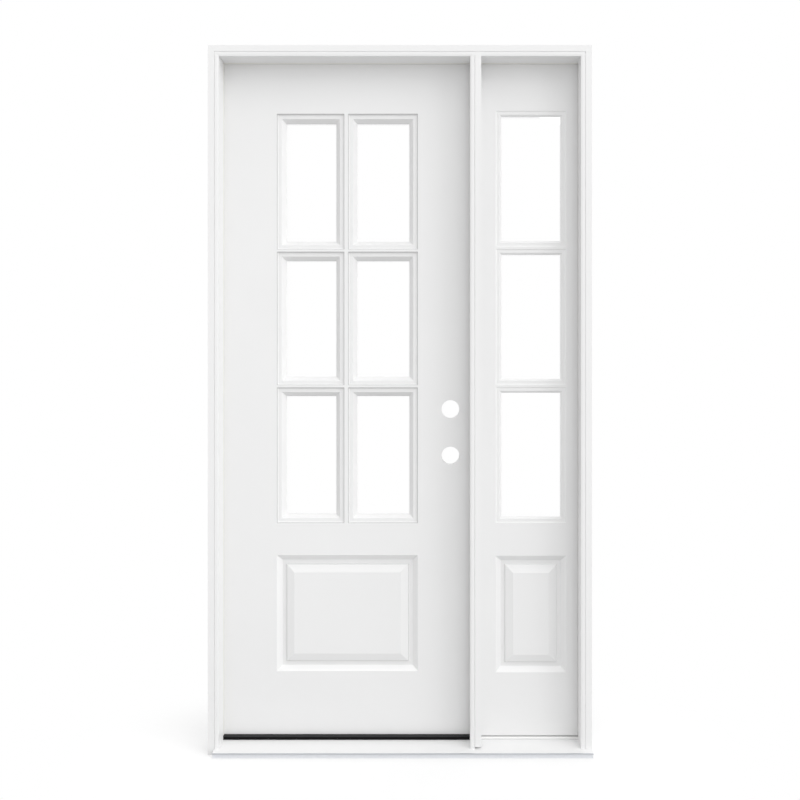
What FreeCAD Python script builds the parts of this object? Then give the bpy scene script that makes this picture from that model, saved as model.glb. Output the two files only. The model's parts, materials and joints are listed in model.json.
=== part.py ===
import FreeCAD, Part
import math
import os
import re

import Sketcher

# Pre-hung entry door with one sidelight, seen from outside: +X to the right, +Y indoors, +Z up.
# The origin lies under the sill, at the middle of the frame's width and of the jambs' depth.

# Driving dimensions in millimetres: alias, value, meaning
DRIVING = [
    ("frame_width", 1123.95, "outside width over both jambs"),
    ("frame_height", 2076.45, "sill underside to the top of the head"),
    ("jamb_depth", 115.9, "jamb board across the wall"),
    ("jamb_board", 19.05, "jamb, head and mull board thickness"),
    ("stop_projection", 12.7, "planted stop beyond its board"),
    ("groove_width", 2.6, "V line where board and stop meet on the front"),
    ("groove_depth", 2.0, "depth of that V line"),
    ("stop_ease_width", 5.5, "eased inner front corner of a stop, across the face"),
    ("stop_ease_depth", 1.2, "eased inner front corner of a stop, into the depth"),
    ("seal_space", 15.0, "stop back to leaf face"),
    ("seal_width", 9.0, "weather seal along the rabbet"),
    ("seal_clearance", 5.0, "weather seal to the closed door"),
    ("nosing_projection", 28.0, "sill nosing in front of the jambs"),
    ("nosing_height", 13.9, "top of the nosing"),
    ("deck_height", 22.6, "sill deck behind the slope"),
    ("deck_plate", 2.2, "sill metal thickness"),
    ("nosing_lip", 3.3, "front of the nosing lip"),
    ("drip_overhang", 4.0, "nosing lip beyond the face below it"),
    ("cap_riser", 8.8, "front face of the threshold cap"),
    ("cap_lip_drop", 0.6, "top of the cap's front lip below the door's underside"),
    ("cap_lip_clearance", 5.0, "cap's front lip to the closed door"),
    ("cap_back", 5.0, "threshold cap short of the indoor face"),
    ("cap_bevel", 3.0, "sloped back of the threshold cap"),
    ("base_riser", 4.6, "front face of the sidelight base"),
    ("base_reveal", 4.0, "shadow line under the sidelight, back from its face"),
    ("base_seat", 8.5, "sidelight underside above the deck"),
    ("sidelight_opening", 304.8, "mull to jamb at the sidelight"),
    ("leaf_thickness", 44.45, "door and sidelight thickness"),
    ("hinge_gap", 5.0, "door to hinge jamb"),
    ("lock_gap", 5.2, "door to mull post"),
    ("head_gap", 5.0, "door to head"),
    ("lock_bevel", 2.4, "lock edge relief on the outdoor side"),
    ("door_rise", 11.9, "door underside above the sill deck"),
    ("door_hinge_stile_width", 165.0, "door stile at the hinges"),
    ("door_lock_stile_width", 162.5, "door stile at the lock"),
    ("door_top_rail", 154.9, "door top rail"),
    ("door_middle_rail", 95.2, "door middle rail"),
    ("door_bottom_rail", 188.5, "door bottom rail"),
    ("door_panel_height", 349.2, "opening of the door's raised panel"),
    ("door_end_lite", 408.4, "openings of the door's top and bottom lites, in height"),
    ("door_hinge_column", 203.5, "openings of the door's lites at the hinge side, in width"),
    ("door_upright_bar_width", 10.3, "upright glazing bar of the door"),
    ("door_cross_bar_width", 5.7, "cross glazing bars of the door"),
    ("door_bead_step", 6.0, "flat of the door's glazing beads below the door face"),
    ("door_bead_quirk", 4.6, "where the quirk above that flat ends, in from the opening"),
    ("door_bead_flat", 14.2, "where that flat ends, in from the opening"),
    ("door_bead_sight", 26.6, "edge of the door's outdoor beads on the glass, in from the opening"),
    ("door_inner_sight", 22.5, "edge of the door's indoor beads on the glass, in from the opening"),
    ("door_inner_flat", 14.2, "where the flat of the door's indoor beads ends, in from the opening"),
    ("door_bead_depth", 20.0, "glass below the door face"),
    ("sidelight_fit", 0.3, "sidelight to the jamb, mull and head"),
    ("sidelight_stile_width", 45.7, "sidelight stiles"),
    ("sidelight_top_rail", 150.6, "sidelight top rail"),
    ("sidelight_middle_rail", 98.2, "sidelight middle rail"),
    ("sidelight_bottom_rail", 188.4, "sidelight bottom rail"),
    ("sidelight_panel_height", 350.9, "opening of the sidelight's raised panel"),
    ("sidelight_end_lite", 408.7, "openings of the sidelight's top and bottom lites, in height"),
    ("sidelight_cross_bar_width", 5.9, "cross glazing bars of the sidelight"),
    ("sidelight_bead_step", 1.8, "flat of the sidelight's glazing beads below the sidelight face"),
    ("sidelight_bead_quirk", 3.6, "where the quirk above that flat ends, in from the opening"),
    ("sidelight_bead_flat", 12.0, "where that flat ends, in from the opening"),
    ("sidelight_bead_sight", 18.0, "edge of the sidelight's outdoor beads on the glass, in from the opening"),
    ("sidelight_inner_sight", 12.0, "edge of the sidelight's indoor beads on the glass, in from the opening"),
    ("sidelight_inner_flat", 4.6, "where the flat of the sidelight's indoor beads ends, in from the opening"),
    ("sidelight_bead_depth", 6.4, "glass below the sidelight face"),
    ("glass_unit", 11.0, "sealed double glazing, over both sheets"),
    ("glass_sheet", 3.0, "one sheet of the sealed double glazing"),
    ("glass_edge", 3.0, "glass edge short of its opening"),
    ("glazing_tape", 0.4, "tape between glass and bead"),
    ("moulding_lip", 0.4, "narrow flat at the outer edge of a bead or panel moulding"),
    ("moulding_bevel", 16.2, "panel moulding across the face"),
    ("moulding_depth", 14.0, "panel flat below the leaf face"),
    ("panel_flat", 11.2, "flat around the raised field"),
    ("panel_step", 5.0, "height of the steep foot of the raised field"),
    ("panel_foot", 3.0, "that steep foot, across the face"),
    ("panel_bevel", 22.2, "slope of the raised field above its foot, across the face"),
    ("field_recess", 1.5, "raised field below the leaf face"),
    ("backset", 65.0, "lock edge to the bores' centre"),
    ("bore_radius", 27.0, "lock bores"),
    ("latch_height", 835.8, "latch bore above the door's underside"),
    ("bore_spacing", 139.7, "latch bore to deadbolt bore"),
    ("bolt_bore_radius", 12.7, "bolt bores in the lock edge and in the mull post"),
    ("strike_depth", 14.0, "bolt bores into the mull post"),
    ("sweep_plate", 1.5, "sweep carrier under the door"),
    ("sweep_fin", 1.5, "sweep fins below their carrier"),
    ("sweep_fin_width", 3.0, "sweep fin thickness"),
    ("sweep_inset", 3.0, "sweep short of the door's faces and edges"),
    ("sweep_clearance", 5.0, "sweep fins above the threshold cap"),
    ("hinge_height", 101.6, "hinge leaf along the door edge"),
    ("hinge_leaf_width", 38.0, "hinge leaf in from the indoor face"),
    ("hinge_plate", 2.5, "hinge leaf thickness"),
    ("hinge_offset", 8.0, "pin centre beyond the indoor face"),
    ("knuckle_radius", 6.5, "hinge barrel"),
    ("knuckle_gap", 0.4, "between hinge knuckles"),
    ("pin_radius", 3.2, "hinge pin"),
    ("pin_clearance", 0.1, "knuckle bore around the pin"),
    ("pin_head_radius", 4.2, "button at each end of a pin"),
    ("pin_head_height", 3.0, "length of that button"),
    ("top_hinge_drop", 178.0, "door top to the top hinge"),
    ("bottom_hinge_rise", 254.0, "door underside to the bottom hinge"),
]

KNUCKLES = 5
SWEEP_FINS = 3
RIGHT_ANGLE = 90

# Stations across the width
OUTER_LEFT = "(-frame_width / 2)"
OUTER_RIGHT = "(frame_width / 2)"
HINGE_RABBET = "(-frame_width / 2 + jamb_board)"
JAMB_RABBET = "(frame_width / 2 - jamb_board)"
MULL_RIGHT = f"({JAMB_RABBET} - sidelight_opening)"
STRIKE_RABBET = f"({MULL_RIGHT} - jamb_board)"
DOOR_LEFT = f"({HINGE_RABBET} + hinge_gap)"
DOOR_RIGHT = f"({STRIKE_RABBET} - lock_gap)"
SIDELIGHT_LEFT = f"({MULL_RIGHT} + sidelight_fit)"
SIDELIGHT_RIGHT = f"({JAMB_RABBET} - sidelight_fit)"
PIN_X = f"({HINGE_RABBET} + hinge_gap / 2)"
BORE_X = f"({DOOR_RIGHT} - backset)"
DOOR_OPENING = (f"({DOOR_LEFT} + door_hinge_stile_width)", f"({DOOR_RIGHT} - door_lock_stile_width)")
DOOR_COLUMNS = [
    (DOOR_OPENING[0], f"({DOOR_OPENING[0]} + door_hinge_column)"),
    (f"({DOOR_OPENING[0]} + door_hinge_column + door_upright_bar_width)", DOOR_OPENING[1]),
]
SIDELIGHT_OPENING = (
    f"({SIDELIGHT_LEFT} + sidelight_stile_width)",
    f"({SIDELIGHT_RIGHT} - sidelight_stile_width)",
)

# Stations through the depth
OUTDOOR = "(-jamb_depth / 2)"
INDOOR = "(jamb_depth / 2)"
LEAF_FACE = "(jamb_depth / 2 - leaf_thickness)"
STOP_BACK = f"({LEAF_FACE} - seal_space)"
NOSE = f"({OUTDOOR} - nosing_projection)"
LEAF_MIDDLE = "(jamb_depth / 2 - leaf_thickness / 2)"
BULB_CENTRE = f"({LEAF_FACE} - seal_clearance - seal_width / 2)"
PIN_Y = "(jamb_depth / 2 + hinge_offset)"

# Stations up the height
GROUND = "0"
TOP = "frame_height"
HEAD_RABBET = "(frame_height - jamb_board)"
HEAD_STOP = "(frame_height - jamb_board - stop_projection)"
DOOR_BOTTOM = "(deck_height + door_rise)"
DOOR_TOP = f"({HEAD_RABBET} - head_gap)"
CARRIER_BOTTOM = f"({DOOR_BOTTOM} - sweep_plate)"
SWEEP_BOTTOM = f"({CARRIER_BOTTOM} - sweep_fin)"
CAP_SEAT = f"({SWEEP_BOTTOM} - sweep_clearance)"
CAP_LIP = f"({DOOR_BOTTOM} - cap_lip_drop)"
SIDELIGHT_BOTTOM = "(deck_height + base_seat)"
SIDELIGHT_TOP = f"({HEAD_RABBET} - sidelight_fit)"
LATCH_Z = f"({DOOR_BOTTOM} + latch_height)"
BORES = {"latch": LATCH_Z, "deadbolt": f"({LATCH_Z} + bore_spacing)"}

doc = FreeCAD.newDocument("EntryDoor")
sheet = doc.addObject("Spreadsheet::Sheet", "Sizes")
for row, (alias, value, meaning) in enumerate(DRIVING, start=1):
    sheet.set(f"A{row}", meaning)
    sheet.set(f"B{row}", str(value))
    sheet.setAlias(f"B{row}", alias)
doc.recompute()

nodes = []


def formula(text):
    """Point each size named in a formula at its cell of the sheet."""
    return re.sub(r"[a-z][a-z_]+", r"Sizes.\g<0>", text)


def bind(item, formulas):
    for name, text in formulas.items():
        item.setExpression(name, formula(text))
    return item


def node(item, label):
    """Keep an object as a finished sub-part of the assembly."""
    item.Label = label
    nodes.append(item)
    return item


def span(low, high):
    return f"({high}) - ({low})"


def inset(edges, amount):
    """Draw both ends of a range in by the same amount."""
    low, high = edges
    return (f"({low} + {amount})", f"({high} - ({amount}))")


def box(name, xs, ys, zs):
    item = doc.addObject("Part::Box", name)
    return bind(item, {
        "Length": span(*xs),
        "Width": span(*ys),
        "Height": span(*zs),
        "Placement.Base.x": xs[0],
        "Placement.Base.y": ys[0],
        "Placement.Base.z": zs[0],
    })


def frustum(name, ys, near, far):
    """A block whose rectangle changes from near to far through the depth, as for a bevel."""
    item = doc.addObject("Part::Wedge", name)
    return bind(item, {
        "Ymin": ys[0],
        "Ymax": ys[1],
        "Xmin": near[0][0],
        "Xmax": near[0][1],
        "Zmin": near[1][0],
        "Zmax": near[1][1],
        "X2min": far[0][0],
        "X2max": far[0][1],
        "Z2min": far[1][0],
        "Z2max": far[1][1],
    })


TURNS = {
    "x": FreeCAD.Rotation(FreeCAD.Vector(0, 1, 0), RIGHT_ANGLE),
    "y": FreeCAD.Rotation(FreeCAD.Vector(1, 0, 0), -RIGHT_ANGLE),
    "z": FreeCAD.Rotation(),
}


def cylinder(name, radius, height, base, axis="z"):
    item = doc.addObject("Part::Cylinder", name)
    item.Placement = FreeCAD.Placement(FreeCAD.Vector(), TURNS[axis])
    return bind(item, {
        "Radius": radius,
        "Height": height,
        "Placement.Base.x": base[0],
        "Placement.Base.y": base[1],
        "Placement.Base.z": base[2],
    })


def group(name, pieces):
    item = doc.addObject("Part::Compound", name)
    item.Links = pieces
    return item


def fuse(name, pieces):
    item = doc.addObject("Part::MultiFuse", name)
    item.Shapes = pieces
    item.Refine = True
    return item


def cut(name, base, tools):
    item = doc.addObject("Part::Cut", name)
    item.Base = base
    item.Tool = tools[0] if len(tools) == 1 else fuse(f"{name}_tools", tools)
    item.Refine = True
    return item


def extrusion(name, plane, corners, start, end):
    """A body padded from one closed profile, each corner placed from the origin by two sizes."""
    body = doc.addObject("PartDesign::Body", name)
    sketch = body.newObject("Sketcher::SketchObject", f"{name}_profile")
    support = [face for face in body.Origin.OriginFeatures if face.Role == plane][0]
    sketch.AttachmentSupport = (support, [""])
    sketch.MapMode = "FlatFace"
    count = len(corners)
    turn = 2 * math.pi / count
    ring = [FreeCAD.Vector(math.cos(turn * k), math.sin(turn * k), 0) for k in range(count)]
    for k in range(count):
        sketch.addGeometry(Part.LineSegment(ring[k], ring[(k + 1) % count]), False)
    for k in range(count):
        sketch.addConstraint(Sketcher.Constraint("Coincident", k, 2, (k + 1) % count, 1))
    for k, corner in enumerate(corners):
        for kind, text in zip(("DistanceX", "DistanceY"), corner):
            index = sketch.addConstraint(Sketcher.Constraint(kind, -1, 1, k, 1, ring[k].Length))
            sketch.setExpression(f"Constraints[{index}]", formula(text))
    bind(sketch, {"AttachmentOffset.Base.z": start})
    pad = body.newObject("PartDesign::Pad", f"{name}_pad")
    pad.Profile = sketch
    bind(pad, {"Length": span(start, end)})
    return body


def ring_moulding(name, xs, zs, slopes):
    """A mitred frame of moulding around an opening; each slope has a near and a far (depth, inset)."""
    blank = box(f"{name}_blank", xs, (slopes[0][0][0], slopes[-1][1][0]), zs)
    tools = []
    for index, ((near_depth, near), (far_depth, far)) in enumerate(slopes):
        tools.append(frustum(
            f"{name}_slope_{index}", (near_depth, far_depth),
            (inset(xs, near), inset(zs, near)), (inset(xs, far), inset(zs, far))))
    return cut(name, blank, tools)


# Sill: a sloped metal deck folded over a solid core, with a nosing that runs on in front of one jamb
sill_outline = [
    (f"{NOSE} + drip_overhang", GROUND),
    (f"{NOSE} + drip_overhang", "nosing_height - nosing_lip"),
    (NOSE, "nosing_height - nosing_lip"),
    (NOSE, "nosing_height"),
    (STOP_BACK, "deck_height"),
    (INDOOR, "deck_height"),
    (INDOOR, GROUND),
]
core_outline = [
    (f"{NOSE} + drip_overhang + deck_plate", GROUND),
    (f"{NOSE} + drip_overhang + deck_plate", "nosing_height - deck_plate"),
    (STOP_BACK, "deck_height - deck_plate"),
    (f"{INDOOR} - deck_plate", "deck_height - deck_plate"),
    (f"{INDOOR} - deck_plate", GROUND),
]
sill_blank = extrusion("sill_blank", "YZ_Plane", sill_outline, HINGE_RABBET, OUTER_RIGHT)
jamb_seat = box("jamb_seat", (JAMB_RABBET, OUTER_RIGHT), (OUTDOOR, INDOOR), (GROUND, "deck_height"))
sill = cut("sill", sill_blank, [jamb_seat])
core_blank = extrusion("core_blank", "YZ_Plane", core_outline, HINGE_RABBET, OUTER_RIGHT)
sill_base = node(cut("sill_core", core_blank, [jamb_seat]), "sill_base")
node(cut("deck", sill, [sill_base]), "sill_deck")

# Threshold cap under the door: a front lip stands before the leaf, the seat behind it clears the sweep
cap_outline = [
    (STOP_BACK, "deck_height"),
    (STOP_BACK, "deck_height + cap_riser"),
    (f"{LEAF_FACE} - cap_lip_clearance", CAP_LIP),
    (f"{LEAF_FACE} - cap_lip_clearance", CAP_SEAT),
    (f"{INDOOR} - cap_back - cap_bevel", CAP_SEAT),
    (f"{INDOOR} - cap_back", "deck_height"),
]
node(extrusion("cap", "YZ_Plane", cap_outline, HINGE_RABBET, STRIKE_RABBET), "threshold_cap")

# Base of the sidelight, with a shadow line under the leaf
base_outline = [
    (STOP_BACK, "deck_height"),
    (STOP_BACK, "deck_height + base_riser"),
    (f"{LEAF_FACE} + base_reveal", "deck_height + base_riser"),
    (f"{LEAF_FACE} + base_reveal", SIDELIGHT_BOTTOM),
    (INDOOR, SIDELIGHT_BOTTOM),
    (INDOOR, "deck_height"),
]
node(extrusion("side_base", "YZ_Plane", base_outline, MULL_RIGHT, JAMB_RABBET), "sidelight_base")


# Frame boards and planted stops, mitred at the head; the mull post is cut square on the flat of the deck
def board_outline(outer, rabbet, inward):
    """Plan of an upright board, its front edge chamfered beside the stop."""
    return [
        (outer, OUTDOOR),
        (f"{rabbet} - {inward} * groove_width / 2", OUTDOOR),
        (rabbet, f"{OUTDOOR} + groove_depth"),
        (rabbet, INDOOR),
        (outer, INDOOR),
    ]


def stop_outline(rabbet, inward):
    """Plan of an upright stop: chamfered beside its board, eased at its inner front corner."""
    return [
        (rabbet, f"{OUTDOOR} + groove_depth"),
        (f"{rabbet} + {inward} * groove_width / 2", OUTDOOR),
        (f"{rabbet} + {inward} * (stop_projection - stop_ease_width)", OUTDOOR),
        (f"{rabbet} + {inward} * stop_projection", f"{OUTDOOR} + stop_ease_depth"),
        (f"{rabbet} + {inward} * stop_projection", STOP_BACK),
        (rabbet, STOP_BACK),
    ]


head_board_outline = [(depth, across) for across, depth in board_outline(TOP, HEAD_RABBET, "-1")]
head_stop_outline = [(depth, across) for across, depth in stop_outline(HEAD_RABBET, "-1")]
mitre_waste = [
    extrusion(f"mitre_{side}", "XZ_Plane", [
        (corner, TOP),
        (corner, HEAD_STOP),
        (f"{corner} {sign} (jamb_board + stop_projection)", HEAD_STOP),
    ], f"-{INDOOR}", f"-{OUTDOOR}")
    for side, corner, sign in (("left", OUTER_LEFT, "+"), ("right", OUTER_RIGHT, "-"))
]
head_board_blank = extrusion("head_board_blank", "YZ_Plane", head_board_outline, OUTER_LEFT, OUTER_RIGHT)
head_stop_blank = extrusion("head_stop_blank", "YZ_Plane", head_stop_outline, OUTER_LEFT, OUTER_RIGHT)
head_board = node(cut("head_board", head_board_blank, mitre_waste), "head_jamb")
head_stop = node(cut("head_strip", head_stop_blank, mitre_waste), "head_stop")

hinge_board_blank = extrusion(
    "hinge_board_blank", "XY_Plane", board_outline(OUTER_LEFT, HINGE_RABBET, "1"), GROUND, TOP)
side_board_blank = extrusion(
    "side_board_blank", "XY_Plane", board_outline(OUTER_RIGHT, JAMB_RABBET, "-1"), GROUND, TOP)
mull_blank = extrusion(
    "mull_blank", "XY_Plane", board_outline(MULL_RIGHT, STRIKE_RABBET, "-1"), "deck_height", HEAD_RABBET)
strike_bores = [
    cylinder(f"{name}_strike", "bolt_bore_radius", "strike_depth", (STRIKE_RABBET, LEAF_MIDDLE, height), "x")
    for name, height in BORES.items()
]
node(cut("side_board", side_board_blank, [head_board]), "sidelight_jamb")
node(cut("mull_board", mull_blank, [head_stop] + strike_bores), "mull_post")
for label, rabbet, inward in (
    ("hinge_stop", HINGE_RABBET, "1"),
    ("mull_stop", STRIKE_RABBET, "-1"),
    ("sidelight_stop", JAMB_RABBET, "-1"),
):
    blank = extrusion(f"{label}_blank", "XY_Plane", stop_outline(rabbet, inward), GROUND, HEAD_RABBET)
    node(cut(f"{label}_strip", blank, [head_stop, sill]), label)


# Weather seals behind the stops: the door's clear the closed leaf, the sidelight's are pressed on it
def bulb_seal(name, label, across, run, axis):
    """A foam seal along one axis: a flat carrier with a half-round bulb towards the leaf."""
    middle = f"(({across[0]} + {across[1]}) / 2)"
    xs, zs = (across, run) if axis == "z" else (run, across)
    base = (middle, BULB_CENTRE, run[0]) if axis == "z" else (run[0], BULB_CENTRE, middle)
    carrier = box(f"{name}_carrier", xs, (STOP_BACK, BULB_CENTRE), zs)
    bulb = cylinder(f"{name}_bulb", "seal_width / 2", span(*run), base, axis)
    node(fuse(name, [carrier, bulb]), label)


SEAL_TOP = f"({HEAD_RABBET} - seal_width)"
SEAL_RISE = (CAP_LIP, SEAL_TOP)
HINGE_SEAL = (HINGE_RABBET, f"({HINGE_RABBET} + seal_width)")
STRIKE_SEAL = (f"({STRIKE_RABBET} - seal_width)", STRIKE_RABBET)
bulb_seal("seal_hinge", "hinge_side_seal", HINGE_SEAL, SEAL_RISE, "z")
bulb_seal("seal_strike", "strike_side_seal", STRIKE_SEAL, SEAL_RISE, "z")
bulb_seal("seal_head", "head_seal", (SEAL_TOP, HEAD_RABBET), (HINGE_RABBET, STRIKE_RABBET), "x")
node(box("seal_side_head", (MULL_RIGHT, JAMB_RABBET), (STOP_BACK, LEAF_FACE), (SEAL_TOP, HEAD_RABBET)),
     "sidelight_head_seal")
node(box("seal_side_jamb", (f"{JAMB_RABBET} - seal_width", JAMB_RABBET), (STOP_BACK, LEAF_FACE),
         ("deck_height + base_riser", SEAL_TOP)), "sidelight_jamb_seal")


# Glazed leaf: rails, glazing bars, beads, sealed glass and a raised panel between two stiles
def glazed_leaf(prefix, opening, columns, bottom, top):
    depth = (LEAF_FACE, INDOOR)
    panel_low = f"({bottom} + {prefix}_bottom_rail)"
    panel_high = f"({panel_low} + {prefix}_panel_height)"
    lites_low = f"({panel_high} + {prefix}_middle_rail)"
    lites_high = f"({top} - {prefix}_top_rail)"
    lite, bar = f"{prefix}_end_lite", f"{prefix}_cross_bar_width"
    rows = [
        (lites_low, f"({lites_low} + {lite})"),
        (f"({lites_low} + {lite} + {bar})", f"({lites_high} - {lite} - {bar})"),
        (f"({lites_high} - {lite})", lites_high),
    ]

    node(box(f"{prefix}_rail_top", opening, depth, (lites_high, top)), f"{prefix}_top_rail")
    node(box(f"{prefix}_rail_middle", opening, depth, (panel_high, lites_low)), f"{prefix}_middle_rail")
    node(box(f"{prefix}_rail_bottom", opening, depth, (bottom, panel_low)), f"{prefix}_bottom_rail")

    # An upright bar runs through, cross bars are let in beside it
    for before, after in zip(columns, columns[1:]):
        ends = (before[1], after[0])
        node(box(f"{prefix}_upright", ends, depth, (lites_low, lites_high)), f"{prefix}_upright_bar")
    bars = []
    for row, (below, above) in enumerate(zip(rows, rows[1:])):
        for column, xs in enumerate(columns):
            bars.append(box(f"{prefix}_cross_{row}_{column}", xs, depth, (below[1], above[0])))
    node(group(f"{prefix}_cross", bars), f"{prefix}_cross_bars")

    # Beads hold the glass from both sides: a quirk, a flat below the leaf face, then the slope to the glass
    quirk, flat = f"{prefix}_bead_quirk", f"{prefix}_bead_flat"
    outer_flat = f"({LEAF_FACE} + {prefix}_bead_step)"
    inner_flat = f"({INDOOR} - {prefix}_bead_step)"
    glass_front = f"({LEAF_FACE} + {prefix}_bead_depth)"
    glass_back = f"({glass_front} + glass_unit)"
    outer_slopes = [
        ((LEAF_FACE, "moulding_lip"), (outer_flat, quirk)),
        ((outer_flat, flat), (f"({glass_front} - glazing_tape)", f"{prefix}_bead_sight")),
    ]
    inner_slopes = [
        ((f"({glass_back} + glazing_tape)", f"{prefix}_inner_sight"), (inner_flat, f"{prefix}_inner_flat")),
        ((inner_flat, quirk), (INDOOR, "moulding_lip")),
    ]
    outer_rings = []
    inner_rings = []
    sheets = []
    for row, zs in enumerate(rows):
        for column, xs in enumerate(columns):
            cell = f"{prefix}_{row}_{column}"
            outer_rings.append(ring_moulding(f"{cell}_outer", xs, zs, outer_slopes))
            inner_rings.append(ring_moulding(f"{cell}_inner", xs, zs, inner_slopes))
            pane = (inset(xs, "glass_edge"), inset(zs, "glass_edge"))
            for side, ys in (
                ("front", (glass_front, f"{glass_front} + glass_sheet")),
                ("back", (f"{glass_back} - glass_sheet", glass_back)),
            ):
                sheets.append(box(f"{cell}_{side}", pane[0], ys, pane[1]))
    node(group(f"{prefix}_sheets", sheets), f"{prefix}_glass")

    # Mouldings hold the panel in the same way
    panel = (panel_low, panel_high)
    panel_front = f"({LEAF_FACE} + moulding_depth)"
    panel_back = f"({INDOOR} - moulding_depth)"
    outer_slope = ((LEAF_FACE, "moulding_lip"), (panel_front, "moulding_bevel"))
    inner_slope = ((panel_back, "moulding_bevel"), (INDOOR, "moulding_lip"))
    outer_rings.append(ring_moulding(f"{prefix}_panel_outer", opening, panel, [outer_slope]))
    inner_rings.append(ring_moulding(f"{prefix}_panel_inner", opening, panel, [inner_slope]))
    node(group(f"{prefix}_outer", outer_rings), f"{prefix}_outer_mouldings")
    node(group(f"{prefix}_inner", inner_rings), f"{prefix}_inner_mouldings")

    # Raised panel: a flat held by the mouldings, a steep foot, then the slope up to the field
    toe = "moulding_bevel + panel_flat"
    shoulder = f"{toe} + panel_foot"
    crown = f"{shoulder} + panel_bevel"
    toe_edges = (inset(opening, toe), inset(panel, toe))
    shoulder_edges = (inset(opening, shoulder), inset(panel, shoulder))
    crown_edges = (inset(opening, crown), inset(panel, crown))
    foot_front = f"({panel_front} - panel_step)"
    foot_back = f"({panel_back} + panel_step)"
    field_front = f"({LEAF_FACE} + field_recess)"
    field_back = f"({INDOOR} - field_recess)"
    pieces = [
        box(f"{prefix}_panel_flat", opening, (panel_front, panel_back), panel),
        frustum(f"{prefix}_foot_front", (foot_front, panel_front), shoulder_edges, toe_edges),
        frustum(f"{prefix}_foot_back", (panel_back, foot_back), toe_edges, shoulder_edges),
        frustum(f"{prefix}_field_front", (field_front, foot_front), crown_edges, shoulder_edges),
        frustum(f"{prefix}_field_back", (foot_back, field_back), shoulder_edges, crown_edges),
    ]
    node(fuse(f"{prefix}_panel", pieces), f"{prefix}_raised_panel")


glazed_leaf("door", DOOR_OPENING, DOOR_COLUMNS, DOOR_BOTTOM, DOOR_TOP)
glazed_leaf("sidelight", SIDELIGHT_OPENING, [SIDELIGHT_OPENING], SIDELIGHT_BOTTOM, SIDELIGHT_TOP)

LEAF_DEPTH = (LEAF_FACE, INDOOR)
SIDELIGHT_RISE = (SIDELIGHT_BOTTOM, SIDELIGHT_TOP)
DOOR_RISE = (DOOR_BOTTOM, DOOR_TOP)
node(box("side_stile_mull", (SIDELIGHT_LEFT, SIDELIGHT_OPENING[0]), LEAF_DEPTH, SIDELIGHT_RISE),
     "sidelight_mull_stile")
node(box("side_stile_jamb", (SIDELIGHT_OPENING[1], SIDELIGHT_RIGHT), LEAF_DEPTH, SIDELIGHT_RISE),
     "sidelight_jamb_stile")

# Lock stile: its edge is relieved outdoors so that it clears the mull, and bored for a latch and a deadbolt
lock_blank = frustum(
    "lock_blank", LEAF_DEPTH,
    ((DOOR_OPENING[1], f"{DOOR_RIGHT} - lock_bevel"), DOOR_RISE),
    ((DOOR_OPENING[1], DOOR_RIGHT), DOOR_RISE))
lock_bores = []
for name, height in BORES.items():
    lock_bores.append(cylinder(
        f"{name}_bore", "bore_radius", "leaf_thickness", (BORE_X, LEAF_FACE, height), "y"))
    lock_bores.append(cylinder(
        f"{name}_edge_bore", "bolt_bore_radius", "backset", (BORE_X, LEAF_MIDDLE, height), "x"))
node(cut("lock_stile", lock_blank, lock_bores), "door_lock_stile")

# Butt hinges let into the jamb and the hinge stile, their pins just beyond the indoor face
TOP_HINGE = f"({DOOR_TOP} - top_hinge_drop - hinge_height)"
BOTTOM_HINGE = f"({DOOR_BOTTOM} + bottom_hinge_rise)"
MIDDLE_HINGE = f"(({TOP_HINGE} + {BOTTOM_HINGE}) / 2)"
KNUCKLE = f"((hinge_height - {KNUCKLES - 1} * knuckle_gap) / {KNUCKLES})"
MORTISE_DEPTH = (f"({INDOOR} - hinge_leaf_width)", INDOOR)
TAB_DEPTH = (INDOOR, PIN_Y)
JAMB_PLATE = (f"({HINGE_RABBET} - hinge_plate)", HINGE_RABBET)
DOOR_PLATE = (DOOR_LEFT, f"({DOOR_LEFT} + hinge_plate)")


def hinge_leaf(name, plate, low, first_knuckle):
    """One leaf: a plate with every second knuckle of the barrel, from the first given one up."""
    pieces = [box(f"{name}_plate", plate, MORTISE_DEPTH, (low, f"{low} + hinge_height"))]
    for index in range(first_knuckle, KNUCKLES, 2):
        foot = f"({low} + {index} * ({KNUCKLE} + knuckle_gap))"
        pieces.append(box(f"{name}_tab_{index}", plate, TAB_DEPTH, (foot, f"{foot} + {KNUCKLE}")))
        pieces.append(cylinder(f"{name}_knuckle_{index}", "knuckle_radius", KNUCKLE, (PIN_X, PIN_Y, foot)))
    return pieces


jamb_mortises = []
door_mortises = []
for place, low in (("top", TOP_HINGE), ("middle", MIDDLE_HINGE), ("bottom", BOTTOM_HINGE)):
    rise = (low, f"{low} + hinge_height")
    jamb_mortises.append(box(f"{place}_jamb_mortise", JAMB_PLATE, MORTISE_DEPTH, rise))
    door_mortises.append(box(f"{place}_door_mortise", DOOR_PLATE, MORTISE_DEPTH, rise))
    jamb_pieces = hinge_leaf(f"{place}_jamb", JAMB_PLATE, low, first_knuckle=0)
    pin_low = f"({low} - pin_head_height)"
    jamb_pieces.append(cylinder(f"{place}_pin", "pin_radius", "hinge_height", (PIN_X, PIN_Y, low)))
    for end, foot in (("low", pin_low), ("high", f"({low} + hinge_height)")):
        jamb_pieces.append(
            cylinder(f"{place}_pin_{end}", "pin_head_radius", "pin_head_height", (PIN_X, PIN_Y, foot)))
    node(fuse(f"{place}_jamb_fused", jamb_pieces), f"{place}_jamb_hinge_leaf")
    door_blank = fuse(f"{place}_door_fused", hinge_leaf(f"{place}_door", DOOR_PLATE, low, first_knuckle=1))
    pin_bore = cylinder(
        f"{place}_pin_bore", "pin_radius + pin_clearance", "hinge_height", (PIN_X, PIN_Y, low))
    node(cut(f"{place}_door_bored", door_blank, [pin_bore]), f"{place}_door_hinge_leaf")

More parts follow.
